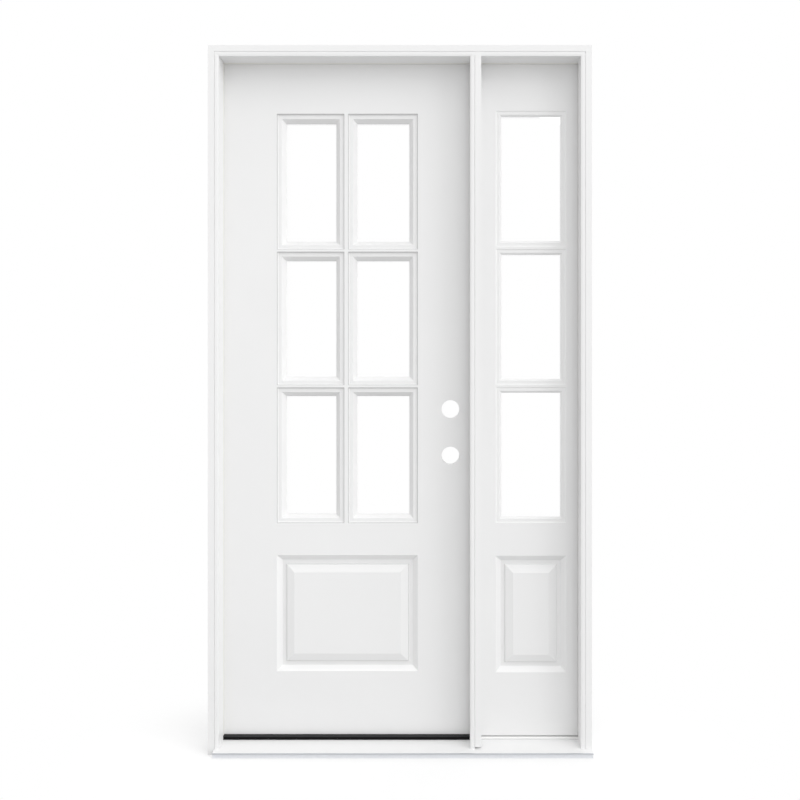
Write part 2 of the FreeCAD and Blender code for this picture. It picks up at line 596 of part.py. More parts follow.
node(cut("hinge_board", hinge_board_blank, [head_board] + jamb_mortises), "hinge_jamb")
hinge_blank = box("hinge_blank", (DOOR_LEFT, DOOR_OPENING[0]), LEAF_DEPTH, DOOR_RISE)
node(cut("hinge_stile", hinge_blank, door_mortises), "door_hinge_stile")

# Sweep under the door: a carrier strip with downward fins
SWEEP_FRONT = f"({LEAF_FACE} + sweep_inset)"
SWEEP_BACK = f"({INDOOR} - sweep_inset)"
FIN_PITCH = f"(({span(SWEEP_FRONT, SWEEP_BACK)} - sweep_fin_width) / {SWEEP_FINS - 1})"
sweep_outline = [(SWEEP_BACK, DOOR_BOTTOM), (SWEEP_FRONT, DOOR_BOTTOM)]
for fin in range(SWEEP_FINS):
    front = f"({SWEEP_FRONT} + {fin} * {FIN_PITCH})"
    back = f"({front} + sweep_fin_width)"
    if fin > 0:
        sweep_outline.append((front, CARRIER_BOTTOM))
    sweep_outline.append((front, SWEEP_BOTTOM))
    sweep_outline.append((back, SWEEP_BOTTOM))
    if fin < SWEEP_FINS - 1:
        sweep_outline.append((back, CARRIER_BOTTOM))
node(extrusion("sweep", "YZ_Plane", sweep_outline, f"{DOOR_LEFT} + sweep_inset",
               f"{DOOR_RIGHT} - lock_bevel - sweep_inset"), "door_sweep")

doc.recompute()
failed = [item.Name for item in doc.Objects if {"Invalid", "Error"} & set(item.State)]
if failed:
    raise RuntimeError(f"objects that did not recompute: {failed}")
for item in nodes:
    if item.Shape.isNull() or not item.Shape.isValid() or not item.Shape.Solids:
        raise RuntimeError(f"no sound solid in {item.Label}")

os.makedirs("parts", exist_ok=True)
for item in nodes:
    item.Shape.exportStep(f"parts/{item.Label}.step")
print(f"{len(nodes)} sub-parts, {sum(len(item.Shape.Solids) for item in nodes)} solids")
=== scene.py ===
import json
import math

import bmesh
import bpy
from mathutils import Matrix, Vector


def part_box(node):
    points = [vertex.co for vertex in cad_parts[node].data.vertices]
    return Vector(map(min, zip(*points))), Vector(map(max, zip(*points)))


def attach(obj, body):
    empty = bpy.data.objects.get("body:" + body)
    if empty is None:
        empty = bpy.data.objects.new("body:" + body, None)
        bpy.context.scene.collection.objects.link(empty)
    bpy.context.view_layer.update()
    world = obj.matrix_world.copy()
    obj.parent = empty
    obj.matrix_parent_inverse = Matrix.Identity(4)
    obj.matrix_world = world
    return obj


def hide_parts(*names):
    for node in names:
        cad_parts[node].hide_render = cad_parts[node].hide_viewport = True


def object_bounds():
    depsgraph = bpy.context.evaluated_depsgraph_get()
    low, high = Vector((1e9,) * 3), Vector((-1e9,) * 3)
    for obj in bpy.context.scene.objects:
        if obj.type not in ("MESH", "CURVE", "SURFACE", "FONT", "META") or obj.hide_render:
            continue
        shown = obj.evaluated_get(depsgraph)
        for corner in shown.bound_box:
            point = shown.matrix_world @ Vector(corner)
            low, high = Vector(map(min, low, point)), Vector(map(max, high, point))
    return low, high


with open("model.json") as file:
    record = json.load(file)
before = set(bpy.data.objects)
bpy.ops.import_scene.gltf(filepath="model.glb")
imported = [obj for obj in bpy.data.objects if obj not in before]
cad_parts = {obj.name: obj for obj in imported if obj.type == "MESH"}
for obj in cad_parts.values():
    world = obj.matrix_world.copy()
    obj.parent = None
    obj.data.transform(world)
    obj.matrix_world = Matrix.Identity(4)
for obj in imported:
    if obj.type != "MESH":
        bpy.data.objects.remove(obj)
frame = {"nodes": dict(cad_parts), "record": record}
CAD_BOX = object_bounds()

bl_info = {
    "name": "Entry door with sidelight",
    "version": (1, 0, 0),
    "blender": (4, 5, 0),
    "location": "View3D > Sidebar > Entry door",
    "description": "Finishes, seals, hinge screws and stage for a white entry door with one sidelight",
    "category": "Object",
}

MM = 0.001
X, Y, Z = range(3)
LOW, HIGH = range(2)
WHITE = "#FFFFFF"
GLASS_NODES = ("door_glass", "sidelight_glass")
HINGE_PLACES = ("top", "middle", "bottom")
FLOOR_DROP = 0.5 * MM

# Sockets of a colour mix node
MIX_SHARE, MIX_BELOW, MIX_ABOVE = 0, 6, 7
MIX_RESULT = 2

# How far a change of colour stays off the edge of its face, and the sill's off its skirt
EDGE = 0.05 * MM
SKIRT_EDGE = 0.6 * MM

# Paint: its ripple, and the slow drift of its tone between two shares of noise
PAINT_ROUGHNESS = 0.42
PAINT_IOR = 1.5
PEEL_HEIGHT = 0.12 * MM
PEEL_STRENGTH = 0.08
DRIFT_WIDTH = 350 * MM
DRIFT_NOISE = (0.3, 0.7)
DRIFT_TONES = (0.985, 1.0)
NOISE_DETAIL = 2.0

GLASS_IOR = 1.5

# Drawn lines along X, Y and Z, coarser than the real ones so that they show
SILL_LINES = (200 * MM, 1.2 * MM, 1.2 * MM)
SILL_LINE_HEIGHT = 0.05 * MM
SILL_LINE_STRENGTH = 0.1
SILL_ROUGHNESS = 0.38
NICKEL_LINES = (0.4 * MM, 0.4 * MM, 20 * MM)
NICKEL_ROUGHNESS = (0.26, 0.42)

# Moulded finishes: roughness, width and height of the grain, specular level
# The grain is coarser than the real one so that it shows
GRAINS = {
    "white_sill_composite": (0.5, 1.5 * MM, 0.05 * MM, 0.5),
    "white_base_composite": (0.5, 1.5 * MM, 0.05 * MM, 0.5),
    "black_composite": (0.45, 1.2 * MM, 0.08 * MM, 0.12),
    "black_sweep_rubber": (0.6, 0.8 * MM, 0.05 * MM, 0.5),
    "white_foam_skin": (0.65, 1.0 * MM, 0.08 * MM, 0.5),
    # Grey foam: painted shade in the slots at the lock side and the sidelight's jamb
    "grey_foam_skin_painted_shade": (0.65, 1.0 * MM, 0.08 * MM, 0.5),
}
GRAIN_DETAIL = 3.0
GRAIN_BREAK = 0.6
GRAIN_STRENGTH = 0.25
SHEEN_SPREAD = 0.06

# Upward part of a face's normal where the tread's painted light begins and where it is full: a greyer black
# that stands in for light and sheen on top
PAINTED_LIGHT_SLOPES = (0.3, 0.8)

# Foam seals: steps in a rounded edge, and the angle past which an edge stays sharp
ROUND_STEPS = 6
FOAM_SHARP = math.radians(40)

# Screw heads: shares of the head's radius and of the leaf's length and width
SCREW_SIDES = 24
ARM_STEPS = 6
ARM_ENDS = (0, 1)
CROWN_SHARE = 0.86
ARM_SHARE = 0.66
CORNER_SHARE = 0.2
RECESS_TAPER = 0.6
SCREW_SPREAD = 0.76
SCREW_ROWS = (0.68, 0.36)

# Studio lamps: name, azimuth and elevation in degrees, strength
SOFTBOXES = (
    ("overhead", 10, 68, 0.5),
    ("front_right", 35, 40, 0.51),
    ("side_right", 65, 10, 0.87),
    ("fill_left", -60, 10, 0.135),
    ("fill_behind", 165, 35, 0.15),
)


def srgb(code):
    """Turn an sRGB hex colour into the linear colour that shaders read."""
    channels = [int(code[start:start + 2], 16) / 255 for start in (1, 3, 5)]
    linear = [c / 12.92 if c <= 0.04045 else ((c + 0.055) / 1.055) ** 2.4 for c in channels]
    return (*linear, 1.0)


def add_node(tree, kind, inputs=None, **settings):
    """Add a shader node: settings are its attributes, inputs its socket values or what feeds them."""
    item = tree.nodes.new(kind)
    for name, value in settings.items():
        setattr(item, name, value)
    for name, value in (inputs or {}).items():
        if isinstance(value, bpy.types.NodeSocket):
            tree.links.new(value, item.inputs[name])
        else:
            item.inputs[name].default_value = value
    return item


def new_material(name):
    """Start an empty node material and hand it back with its tree."""
    material = bpy.data.materials.new(name)
    material.use_nodes = True
    material.node_tree.nodes.clear()
    return material, material.node_tree


def surface_place(tree):
    """Where a point of the surface lies in the shared frame, as the sockets X, Y and Z."""
    place = add_node(tree, "ShaderNodeTexCoord")
    return add_node(tree, "ShaderNodeSeparateXYZ", {"Vector": place.outputs["Object"]}).outputs


def lay_over(material, code, share):
    """Lay a second colour over a material's own, as far as the share socket says."""
    tree = material.node_tree
    colour = next(item for item in tree.nodes if item.type == "BSDF_PRINCIPLED").inputs["Base Color"]
    below = colour.links[0].from_socket if colour.is_linked else tuple(colour.default_value)
    tone = add_node(tree, "ShaderNodeMix", {
        MIX_SHARE: share, MIX_BELOW: below, MIX_ABOVE: srgb(code)}, data_type="RGBA")
    tree.links.new(tone.outputs[MIX_RESULT], colour)


def dress(material, *names):
    """Give CAD nodes one material in all their slots."""
    for name in names:
        slots = frame["nodes"][name].data.materials
        slots.clear()
        slots.append(material)


def new_piece(name, mesh, material):
    """Turn a finished mesh into an object of the scene."""
    bmesh.ops.recalc_face_normals(mesh, faces=mesh.faces)
    data = bpy.data.meshes.new(name)
    mesh.to_mesh(data)
    mesh.free()
    data.materials.append(material)
    piece = bpy.data.objects.new(name, data)
    bpy.context.collection.objects.link(piece)
    return piece


class DOOR_PG_finishes(bpy.types.PropertyGroup):
    """Colours of the finishes, and how far they reach"""
    paint: bpy.props.StringProperty(
        name="Paint", description="White satin paint on the woodwork, sRGB hex", default="#E8E8E8")
    peel: bpy.props.FloatProperty(
        name="Paint peel", description="Width of one ripple of the sprayed paint", default=2.4 * MM,
        unit="LENGTH")
    # Painted shade: this greyer paint in the groove round the door's beads stands in for the shade that falls
    # there
    quirk_painted_shade: bpy.props.StringProperty(
        name="Quirk", description="Thin greyer paint in the groove round the door's beads, sRGB hex",
        default="#C2C2C2")
    quirk_painted_shade_depth: bpy.props.FloatProperty(
        name="Quirk depth", description="How far that greyer paint reaches into the groove", default=3.0 * MM,
        unit="LENGTH")
    # Painted shade: this greyer paint on the steep foot of the door's panel stands in for the shade that
    # falls there
    foot: bpy.props.StringProperty(
        name="Panel foot", description="Thin greyer paint on the steep foot of the door's panel, sRGB hex",
        default="#D9D9D9")
    foot_painted_shade_depths: bpy.props.FloatVectorProperty(
        name="Foot depths", description="Where that foot starts and ends below the leaf's face", size=2,
        default=(9.0 * MM, 14.0 * MM), unit="LENGTH")
    glass: bpy.props.StringProperty(
        name="Glass", description="Clear float glass, sRGB hex", default=WHITE)
    coating: bpy.props.StringProperty(
        name="Sill coating", description="White coating on the sill deck, sRGB hex", default="#E8E8E8")
    skirt: bpy.props.StringProperty(
        name="Sill skirt", description="Pale coating on the sill's face below the lip, sRGB hex",
        default="#EAECF0")
    nosing: bpy.props.StringProperty(
        name="Nosing", description="Mill finish aluminium on the sill's lip, sRGB hex", default="#C8CACE")
    lip_depth: bpy.props.FloatProperty(
        name="Lip depth", description="Sill lip in front of the skirt", default=4.0 * MM, unit="LENGTH")
    core: bpy.props.StringProperty(
        name="Sill core", description="White composite core under the sill deck, sRGB hex", default="#E6E6E5")
    # Painted light: the base's own colour is set lighter to stand for the light on its top
    base_top_painted_light: bpy.props.StringProperty(
        name="Sidelight base", description="White composite top of the sidelight's base, sRGB hex",
        default="#F8F8F7")
    # Painted shade: the greyer front and the grey line under the sidelight stand in for the shade that falls
    # there
    base_riser_painted_shade: bpy.props.StringProperty(
        name="Base riser", description="Greyer front of the sidelight's base, sRGB hex", default="#DCDCDC")
    base_reveal_painted_shade: bpy.props.StringProperty(
        name="Base reveal", description="Dusty shadow line under the sidelight, sRGB hex", default="#CACACA")
    threshold: bpy.props.StringProperty(
        name="Threshold", description="Black composite threshold cap, sRGB hex", default="#070708")
    # Painted light: the greyer top of the threshold cap stands in for light and sheen on it
    tread: bpy.props.StringProperty(
        name="Threshold tread", description="Greyer top of the threshold cap, sRGB hex", default="#2C2C2E")
    sweep: bpy.props.StringProperty(
        name="Sweep", description="Black rubber sweep under the door, sRGB hex", default="#1C1C1D")
    hardware: bpy.props.StringProperty(
        name="Hardware", description="Satin nickel plate on the hinges, sRGB hex", default="#BDB9B1")


class DOOR_PG_hardware(bpy.types.PropertyGroup):
    """Screws of the hinges"""
    screw_radius: bpy.props.FloatProperty(
        name="Screw head radius", description="Flat head of a hinge screw", default=4.3 * MM, unit="LENGTH")
    screw_rise: bpy.props.FloatProperty(
        name="Screw head rise", description="Crown of a screw head over its leaf", default=0.45 * MM,
        unit="LENGTH")
    screws: bpy.props.IntProperty(
        name="Screws in a leaf", description="Screws that hold one hinge leaf", default=4, min=2)


class DOOR_PG_seals(bpy.types.PropertyGroup):
    """Skin and section of the foam seals"""
    foam: bpy.props.StringProperty(
        name="Foam", description="White skin of the foam seals, sRGB hex", default="#E6E5E0")
    # Painted shade: the grey skin of the foam at the lock side and the sidelight's jamb stands in for the
    # shade in those slots; the other seals are white
    grey_foam_painted_shade: bpy.props.StringProperty(
        name="Grey foam", description="Grey skin at the lock side and the sidelight's jamb, sRGB hex",
        default="#BCBCBA")
    swell: bpy.props.FloatProperty(
        name="Swell", description="Foam that bulges past its carrier, up to the stop's edge",
        default=3.2 * MM, unit="LENGTH")
    touch: bpy.props.FloatProperty(
        name="Touch", description="What the pressed foam leaves open at the closed leaf", default=0.3 * MM,
        unit="LENGTH")
    stop_round: bpy.props.FloatProperty(
        name="Round at the stop", description="Radius of the foam's edge beside the stop", default=1.0 * MM,
        unit="LENGTH")
    leaf_round: bpy.props.FloatProperty(
        name="Round at the leaf", description="Radius of the foam's edge beside the leaf", default=2.5 * MM,
        unit="LENGTH")


class DOOR_PG_stage(bpy.types.PropertyGroup):
    """Camera, floor and light"""
    eye: bpy.props.FloatVectorProperty(
        name="Eye", description="Where the camera stands", default=(0.1174, -2.753, 1.0556), unit="LENGTH")
    lens: bpy.props.FloatProperty(
        name="Lens", description="Focal length in millimetres on a 36 mm sensor", default=41.46)
    shift: bpy.props.FloatVectorProperty(
        name="Shift", description="Lens shift of the framing", default=(-0.05, -0.0075), size=2)
    floor_colour: bpy.props.StringProperty(
        name="Floor", description="Pale matt floor, sRGB hex", default="#CDCDCD")
    floor_reach: bpy.props.FloatProperty(
        name="Floor reach", description="Floor to each side of the door", default=4.0, unit="LENGTH")
    shadow_reach: bpy.props.FloatProperty(
        name="Shadow reach", description="How far from the frame its shadow shows", default=0.45,
        unit="LENGTH")
    floor_lift: bpy.props.FloatProperty(
        name="Floor lift", description="What brings the lit floor up to white for the eye", default=0.33)
    ambient: bpy.props.FloatProperty(
        name="Ambient", description="Even light from all round", default=0.826)
    softness: bpy.props.FloatProperty(
        name="Softness", description="Angle that each lamp fills", default=math.radians(40), subtype="ANGLE")


def painted_wood(settings, name="satin_painted_wood"):
    """Sprayed satin paint on primed wood: a soft even white, with a faint ripple that breaks highlights."""
    material, tree = new_material(name)
    place = add_node(tree, "ShaderNodeTexCoord")
    ripple = add_node(tree, "ShaderNodeTexNoise", {
        "Vector": place.outputs["Object"], "Scale": 1 / settings.peel, "Detail": NOISE_DETAIL})
    drift = add_node(tree, "ShaderNodeTexNoise", {
        "Vector": place.outputs["Object"], "Scale": 1 / DRIFT_WIDTH, "Detail": NOISE_DETAIL})
    shade = add_node(tree, "ShaderNodeMapRange", {
        "Value": drift.outputs["Fac"], "From Min": DRIFT_NOISE[LOW], "From Max": DRIFT_NOISE[HIGH],
        "To Min": DRIFT_TONES[LOW], "To Max": DRIFT_TONES[HIGH]})
    tone = add_node(tree, "ShaderNodeMix", {
        MIX_SHARE: 1.0, MIX_BELOW: srgb(settings.paint), MIX_ABOVE: shade.outputs["Result"]},
        data_type="RGBA", blend_type="MULTIPLY")
    bump = add_node(tree, "ShaderNodeBump", {
        "Strength": PEEL_STRENGTH, "Distance": PEEL_HEIGHT, "Height": ripple.outputs["Fac"]})
    shader = add_node(tree, "ShaderNodeBsdfPrincipled", {
        "Base Color": tone.outputs[MIX_RESULT], "Roughness": PAINT_ROUGHNESS, "IOR": PAINT_IOR,
        "Normal": bump.outputs["Normal"]})
    add_node(tree, "ShaderNodeOutputMaterial", {"Surface": shader.outputs["BSDF"]})
    return material


def paint_with_painted_groove_shade(settings, name, code, depths, lowest):
    """The same paint with painted shade in a groove: greyer between two depths under either face of the
    door, from the lowest height up, standing in for the shade that falls there."""
    material = painted_wood(settings, name)
    tree = material.node_tree
    low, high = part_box("door_middle_rail")
    near, far = depths
    groove_height = (high[Y] - low[Y]) / 2 - (near + far) / 2
    place = surface_place(tree)
    offset = add_node(tree, "ShaderNodeMath", {
        0: place["Y"], 1: (low[Y] + high[Y]) / 2}, operation="SUBTRACT")
    height = add_node(tree, "ShaderNodeMath", {0: offset.outputs["Value"]}, operation="ABSOLUTE")
    # Painted shade: the mask between the two depths, where the grey stands in for shade
    groove = add_node(tree, "ShaderNodeMath", {
        0: height.outputs["Value"], 1: groove_height, 2: (far - near) / 2 - EDGE}, operation="COMPARE")
    above = add_node(tree, "ShaderNodeMath", {0: place["Z"], 1: lowest - EDGE}, operation="GREATER_THAN")
    share = add_node(tree, "ShaderNodeMath", {
        0: groove.outputs["Value"], 1: above.outputs["Value"]}, operation="MULTIPLY")
    lay_over(material, code, share.outputs["Value"])
    return material


def float_glass(settings):
    """Clear float glass: flat polished sheets that show the background straight through."""
    material, tree = new_material("clear_float_glass")
    shader = add_node(tree, "ShaderNodeBsdfPrincipled", {
        "Base Color": srgb(settings.glass), "Roughness": 0.0, "IOR": GLASS_IOR, "Transmission Weight": 1.0})
    add_node(tree, "ShaderNodeOutputMaterial", {"Surface": shader.outputs["BSDF"]})
    return material


def coated_sill(settings):
    """Drawn aluminium under a white coating, a little bluer on the skirt: an even deck with faint lines along
    it, and a bare lip that shines darker between deck and skirt."""
    material, tree = new_material("coated_sill_aluminium")
    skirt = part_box("sill_deck")[LOW][Y] + settings.lip_depth
    depth = surface_place(tree)["Y"]
    front = add_node(tree, "ShaderNodeMath", {0: depth, 1: skirt + SKIRT_EDGE}, operation="LESS_THAN")
    bare = add_node(tree, "ShaderNodeMath", {0: depth, 1: skirt - SKIRT_EDGE}, operation="LESS_THAN")
    place = add_node(tree, "ShaderNodeTexCoord")
    drawn = add_node(tree, "ShaderNodeMapping", {
        "Vector": place.outputs["Object"], "Scale": [1 / width for width in SILL_LINES]})
    lines = add_node(tree, "ShaderNodeTexNoise", {
        "Vector": drawn.outputs["Vector"], "Scale": 1.0, "Detail": NOISE_DETAIL})
    bump = add_node(tree, "ShaderNodeBump", {
        "Strength": SILL_LINE_STRENGTH, "Distance": SILL_LINE_HEIGHT, "Height": lines.outputs["Fac"]})
    shader = add_node(tree, "ShaderNodeBsdfPrincipled", {
        "Base Color": srgb(settings.coating), "Metallic": bare.outputs["Value"], "Roughness": SILL_ROUGHNESS,
        "Normal": bump.outputs["Normal"]})
    add_node(tree, "ShaderNodeOutputMaterial", {"Surface": shader.outputs["BSDF"]})
    lay_over(material, settings.skirt, front.outputs["Value"])
    lay_over(material, settings.nosing, bare.outputs["Value"])
    return material


def grained_plastic(name, code):
    """Moulded plastic, rubber or foam skin: an even colour under a fine grain that softens its shine."""
    material, tree = new_material(name)
    roughness, grain_width, grain_height, shine = GRAINS[name]
    place = add_node(tree, "ShaderNodeTexCoord")
    grain = add_node(tree, "ShaderNodeTexNoise", {
        "Vector": place.outputs["Object"], "Scale": 1 / grain_width, "Detail": GRAIN_DETAIL,
        "Roughness": GRAIN_BREAK})
    sheen = add_node(tree, "ShaderNodeMapRange", {
        "Value": grain.outputs["Fac"],
        "To Min": roughness - SHEEN_SPREAD, "To Max": roughness + SHEEN_SPREAD})
    bump = add_node(tree, "ShaderNodeBump", {
        "Strength": GRAIN_STRENGTH, "Distance": grain_height, "Height": grain.outputs["Fac"]})
    shader = add_node(tree, "ShaderNodeBsdfPrincipled", {
        "Base Color": srgb(code), "Roughness": sheen.outputs["Result"], "Specular IOR Level": shine,
        "Normal": bump.outputs["Normal"]})
    add_node(tree, "ShaderNodeOutputMaterial", {"Surface": shader.outputs["BSDF"]})
    return material


def black_threshold(settings):
    """Black moulded composite: deep on its upright faces, with painted light on top: a greyer black on faces
    that look up stands in for the light and sheen that fall there.
    """
    material = grained_plastic("black_composite", settings.threshold)
    tree = material.node_tree
    facing = add_node(tree, "ShaderNodeNewGeometry")
    split = add_node(tree, "ShaderNodeSeparateXYZ", {"Vector": facing.outputs["True Normal"]})
    # Painted light on the faces that look up
    painted_light_share = add_node(tree, "ShaderNodeMapRange", {
        "Value": split.outputs["Z"], "From Min": PAINTED_LIGHT_SLOPES[LOW], "From Max": PAINTED_LIGHT_SLOPES[HIGH]})
    lay_over(material, settings.tread, painted_light_share.outputs["Result"])
    return material


def sidelight_base_cap(settings):
    """White moulded composite with painted light and shade: its own colour set lighter to stand for light on
    top, greyer in front and in the shadow line under the leaf as painted shade.
    """
    material = grained_plastic("white_base_composite", settings.base_top_painted_light)
    tree = material.node_tree
    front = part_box("sidelight_base")[LOW][Y]
    leaf_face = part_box("sidelight_bottom_rail")[LOW][Y]
    depth = surface_place(tree)["Y"]
    # Painted shade on the base's front and behind the leaf's face
    riser = add_node(tree, "ShaderNodeMath", {0: depth, 1: front + EDGE}, operation="LESS_THAN")
    reveal = add_node(tree, "ShaderNodeMath", {0: depth, 1: leaf_face + EDGE}, operation="GREATER_THAN")
    lay_over(material, settings.base_riser_painted_shade, riser.outputs["Value"])
    lay_over(material, settings.base_reveal_painted_shade, reveal.outputs["Value"])
    return material


def satin_nickel(settings):
    """Satin nickel plate on steel: drawn lines along the leaf give a broad soft streak of light."""
    material, tree = new_material("satin_nickel_plate")
    place = add_node(tree, "ShaderNodeTexCoord")
    drawn = add_node(tree, "ShaderNodeMapping", {
        "Vector": place.outputs["Object"], "Scale": [1 / width for width in NICKEL_LINES]})
    lines = add_node(tree, "ShaderNodeTexNoise", {
        "Vector": drawn.outputs["Vector"], "Scale": 1.0, "Detail": NOISE_DETAIL})
    sheen = add_node(tree, "ShaderNodeMapRange", {
        "Value": lines.outputs["Fac"], "To Min": NICKEL_ROUGHNESS[LOW], "To Max": NICKEL_ROUGHNESS[HIGH]})
    shader = add_node(tree, "ShaderNodeBsdfPrincipled", {
        "Base Color": srgb(settings.hardware), "Metallic": 1.0, "Roughness": sheen.outputs["Result"]})
    add_node(tree, "ShaderNodeOutputMaterial", {"Surface": shader.outputs["BSDF"]})
    return material


class DOOR_OT_woodwork(bpy.types.Operator):
    """Paint the frame, the door and the sidelight"""
    bl_idname = "entry_door.woodwork"
    bl_label = "Woodwork"

    def execute(self, context):
        finishes = context.scene.door_finishes
        subparts = frame["record"]["subparts"]
        dress(painted_wood(finishes), *(
            entry["node"] for entry in subparts if entry["material_slot"] == "white_paint"))
        panes_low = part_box("door_middle_rail")[HIGH][Z]
        # Painted shade in the grooves round the door's lites
        mouldings = paint_with_painted_groove_shade(
            finishes, "satin_painted_mouldings_painted_shade", finishes.quirk_painted_shade, (0.0, finishes.quirk_painted_shade_depth), panes_low)
        dress(mouldings, "door_outer_mouldings", "door_inner_mouldings")
        # Painted shade on the steep foot of the door's panel
        panel = paint_with_painted_groove_shade(finishes, "satin_painted_panel_painted_shade", finishes.foot, finishes.foot_painted_shade_depths, 0.0)
        dress(panel, "door_raised_panel")
        return {"FINISHED"}


class DOOR_OT_glazing(bpy.types.Operator):
    """Give the sealed panes their clear glass"""
    bl_idname = "entry_door.glazing"
    bl_label = "Glazing"

    def execute(self, context):
        dress(float_glass(context.scene.door_finishes), *GLASS_NODES)
        for name in GLASS_NODES:
            frame["nodes"][name].visible_shadow = False
        return {"FINISHED"}


class DOOR_OT_sill(bpy.types.Operator):
    """Finish the sill, the sidelight's base, the threshold and the sweep"""
    bl_idname = "entry_door.sill"
    bl_label = "Sill"

    def execute(self, context):
        finishes = context.scene.door_finishes
        dress(coated_sill(finishes), "sill_deck")
        dress(grained_plastic("white_sill_composite", finishes.core), "sill_base")
        # The sidelight's base carries painted light on top and painted shade in front and under the leaf
        dress(sidelight_base_cap(finishes), "sidelight_base")
        # The threshold cap carries painted light on its top
        dress(black_threshold(finishes), "threshold_cap")
        dress(grained_plastic("black_sweep_rubber", finishes.sweep), "door_sweep")
        return {"FINISHED"}


def foam_profile(width, depth, settings):
    """Section of a pressed foam seal with round free edges: out from its board, and from stop to leaf."""
    points = [(0.0, 0.0)]
    for radius, centre_depth, start in (
            (settings.stop_round, settings.stop_round, -math.pi / 2),
            (settings.leaf_round, depth - settings.leaf_round, 0.0)):
        for step in range(ROUND_STEPS + 1):
            turn = start + math.pi / 2 * step / ROUND_STEPS
            points.append((width - radius + radius * math.cos(turn), centre_depth + radius * math.sin(turn)))
    points.append((0.0, depth))
    return points


def foam_seal(node, across, way, run, settings, material):
    """One foam strip in the place of its solid: across is the axis out from its board, way the sign of its
    swelling, and run its two ends along the board."""
    low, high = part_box(node)
    along = Z if across == X else X
    board = low[across] if way > 0 else high[across]
    width = high[across] - low[across] + settings.swell
    leaf_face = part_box("door_hinge_stile")[LOW][Y]
    mesh = bmesh.new()
    ring = []
    for reach, depth in foam_profile(width, leaf_face - settings.touch - low[Y], settings):
        place = Vector((0.0, low[Y] + depth, 0.0))
        place[across] = board + way * reach
        place[along] = run[LOW]
        ring.append(mesh.verts.new(place))
    cap = mesh.faces.new(ring)
    length = Vector((0.0, 0.0, 0.0))
    length[along] = run[HIGH] - run[LOW]
    grown = bmesh.ops.extrude_face_region(mesh, geom=[cap], use_keep_orig=True)
    far_end = [item for item in grown["geom"] if isinstance(item, bmesh.types.BMVert)]
    bmesh.ops.translate(mesh, verts=far_end, vec=length)
    piece = new_piece(node.replace("seal", "foam"), mesh, material)
    piece.data.shade_smooth()
    piece.data.set_sharp_from_angle(angle=FOAM_SHARP)
    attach(piece, "frame")
    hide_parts(node)


class DOOR_OT_seals(bpy.types.Operator):
    """Press foam seals between the stops and the leaves"""
    bl_idname = "entry_door.seals"
    bl_label = "Weather seals"

    def execute(self, context):
        seals = context.scene.door_seals
        foam = grained_plastic("white_foam_skin", seals.foam)
        grey_foam_painted_shade = grained_plastic("grey_foam_skin_painted_shade", seals.grey_foam_painted_shade)
        # Painted shade: grey foam in the slots at the lock side and the sidelight's jamb
        dress(grey_foam_painted_shade, "strike_side_seal")
        head_low, head_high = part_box("head_seal")
        side_low, side_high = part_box("sidelight_head_seal")
        hinge_rise = (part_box("hinge_side_seal")[LOW][Z], head_low[Z] - seals.swell)
        jamb_rise = (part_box("sidelight_jamb_seal")[LOW][Z], side_low[Z] - seals.swell)
        foam_seal("hinge_side_seal", X, 1, hinge_rise, seals, foam)
        foam_seal("head_seal", Z, -1, (head_low[X], head_high[X]), seals, foam)
        foam_seal("sidelight_head_seal", Z, -1, (side_low[X], side_high[X]), seals, foam)
        foam_seal("sidelight_jamb_seal", X, -1, jamb_rise, seals, grey_foam_painted_shade)
        return {"FINISHED"}


def screw_head(mesh, place, settings):
    """One flat screw head: a low crown with a cross recess for the driver."""
    radius, rise = settings.screw_radius, settings.screw_rise
    crown = radius * CROWN_SHARE
    rim, edge, cross, floor = [], [], [], []
    for step in range(SCREW_SIDES):
        turn = 2 * math.pi * step / SCREW_SIDES
        around = Vector((math.cos(turn), math.sin(turn), 0.0))
        rim.append(mesh.verts.new(place @ (around * radius)))
        edge.append(mesh.verts.new(place @ (around * crown + Vector((0.0, 0.0, rise)))))
        # Two of every six points end an arm of the cross, the others lie in its inner corners
        reach = crown * (ARM_SHARE if step % ARM_STEPS in ARM_ENDS else CORNER_SHARE)
        cross.append(mesh.verts.new(place @ (around * reach + Vector((0.0, 0.0, rise)))))
        floor.append(mesh.verts.new(place @ (around * reach * RECESS_TAPER)))
    for ring, following in ((rim, edge), (edge, cross), (cross, floor)):
        for index in range(SCREW_SIDES):
            after = (index + 1) % SCREW_SIDES
            mesh.faces.new((ring[index], ring[after], following[after], following[index]))
    mesh.faces.new(floor)
    mesh.faces.new(reversed(rim))


def screw_heads(name, face_x, outward, leaves, settings, material, body):
    """Screw heads on the face of each hinge leaf, in two rows between its edge and the indoor face."""
    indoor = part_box("hinge_jamb")[HIGH][Y]
    mesh = bmesh.new()
    for leaf in leaves:
        low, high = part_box(leaf)
        length = high[Z] - low[Z]
        middle = (low[Z] + high[Z]) / 2
        width = indoor - low[Y]
        for index in range(settings.screws):
            along = middle + length * SCREW_SPREAD * (index / (settings.screws - 1) - 0.5)
            across = low[Y] + width * SCREW_ROWS[index % len(SCREW_ROWS)]
            turned = Matrix.Rotation(outward * math.pi / 2, 4, "Y")
            screw_head(mesh, Matrix.Translation((face_x, across, along)) @ turned, settings)
    piece = new_piece(name, mesh, material)
    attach(piece, body)


class DOOR_OT_hinges(bpy.types.Operator):
    """Plate the hinge leaves and add their screws"""
    bl_idname = "entry_door.hinges"
    bl_label = "Hinges"

    def execute(self, context):
        nickel = satin_nickel(context.scene.door_finishes)
        jamb_leaves = [f"{place}_jamb_hinge_leaf" for place in HINGE_PLACES]
        door_leaves = [f"{place}_door_hinge_leaf" for place in HINGE_PLACES]
        dress(nickel, *jamb_leaves, *door_leaves)
        jamb_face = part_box("hinge_jamb")[HIGH][X]
        stile_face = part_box("door_hinge_stile")[LOW][X]
        hardware = context.scene.door_hardware
        screw_heads("jamb_hinge_screws", jamb_face, 1, jamb_leaves, hardware, nickel, "frame")
        screw_heads("door_hinge_screws", stile_face, -1, door_leaves, hardware, nickel, "door")
        return {"FINISHED"}


